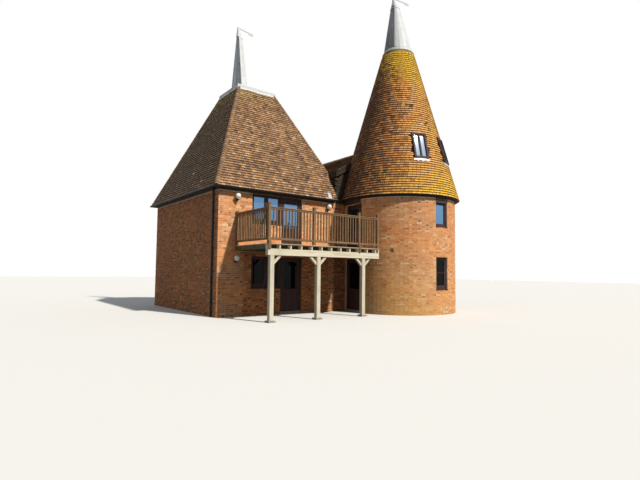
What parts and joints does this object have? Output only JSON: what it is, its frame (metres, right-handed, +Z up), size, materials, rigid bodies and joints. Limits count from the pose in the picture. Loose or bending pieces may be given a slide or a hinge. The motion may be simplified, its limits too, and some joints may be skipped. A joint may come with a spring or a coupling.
{
  "type": "oast house",
  "caption": "Brick oast house with a square kiln, a round kiln, turning white cowls, tiled roofs and a timber balcony, joined by a gabled stowage range.",
  "frame": {"origin": "middle of the square kiln's roof plan, at ground level under its floor", "axes": "+X right along the front wall, +Y from the front to the back, +Z up"},
  "size_m": [11.177, 13.5719, 13.995],
  "materials": {
    "brick": "fired clay, matt",
    "roof_tile": "plain clay tile, matt, with lichen",
    "white_timber": "white paint, slightly weathered",
    "dark_timber": "dark brown stain",
    "weathered_oak": "silvered, matt",
    "guard_timber": "golden brown, weathered",
    "glass": "clear",
    "black_metal": "satin black",
    "lead": "dull grey sheet",
    "floor": "matt",
    "lamp_globe": "opal"
  },
  "bodies": {
    "house": {"kiln_wall_front_left": "brick", "kiln_wall_front_right": "brick", "kiln_wall_front_over": "brick", "kiln_wall_west": "brick", "kiln_wall_back": "brick", "kiln_wall_east": "brick", "kiln_wall_plate": "dark_timber", "kiln_roof": "roof_tile", "kiln_roof_curb": "white_timber", "kiln_windows_front": "dark_timber", "kiln_door_frame": "dark_timber", "kiln_door_upper": "dark_timber", "tower_wall_front": "brick", "tower_wall_east": "brick", "tower_wall_back": "brick", "tower_wall_over_door": "brick", "tower_wall_plate": "dark_timber", "tower_roof": "roof_tile", "tower_roof_curb": "white_timber", "roof_windows": "dark_timber", "tower_windows": "dark_timber", "tower_door_frame": "dark_timber", "tower_door_upper": "dark_timber", "stow_wall_link": "brick", "stow_wall_east": "brick", "stow_wall_back": "brick", "stow_roof": "roof_tile", "valley_lead": "lead", "rear_windows": "dark_timber", "window_glass": "glass", "floor_ground": "floor", "floor_upper": "weathered_oak", "balcony_posts": "weathered_oak", "balcony_pads": "floor", "balcony_frame": "weathered_oak", "balcony_deck": "weathered_oak", "balcony_railing": "guard_timber", "lamp_brackets": "black_metal", "lamp_globes": "lamp_globe", "kiln_downpipe": "black_metal"},
    "kiln_cowl_body": {"kiln_cowl": "white_timber"},
    "tower_cowl_body": {"tower_cowl": "white_timber"},
    "kiln_door_body": {"kiln_door_ground": "dark_timber", "kiln_door_ground_glass": "glass"},
    "tower_door_body": {"tower_door_ground": "dark_timber", "tower_door_ground_glass": "glass"}
  },
  "joints": [
    {"name": "kiln_cowl_turn", "type": "hinge", "parent": "house", "child": "kiln_cowl_body", "pos_m": [-0.31, 0.235, 9.632], "axis": [0, 0, 1], "continuous": true},
    {"name": "tower_cowl_turn", "type": "hinge", "parent": "house", "child": "tower_cowl_body", "pos_m": [5.188, -4.472, 11.375], "axis": [0, 0, 1], "continuous": true},
    {"name": "kiln_door_hinge", "type": "hinge", "parent": "house", "child": "kiln_door_body", "pos_m": [0.7245, -3.251, 1.1], "axis": [0, 0, -1], "range_deg": [0, 90]},
    {"name": "tower_door_hinge", "type": "hinge", "parent": "house", "child": "tower_door_body", "pos_m": [3.09217, -3.65066, 1.1], "axis": [0, 0, 1], "range_deg": [0, 90]}
  ]
}
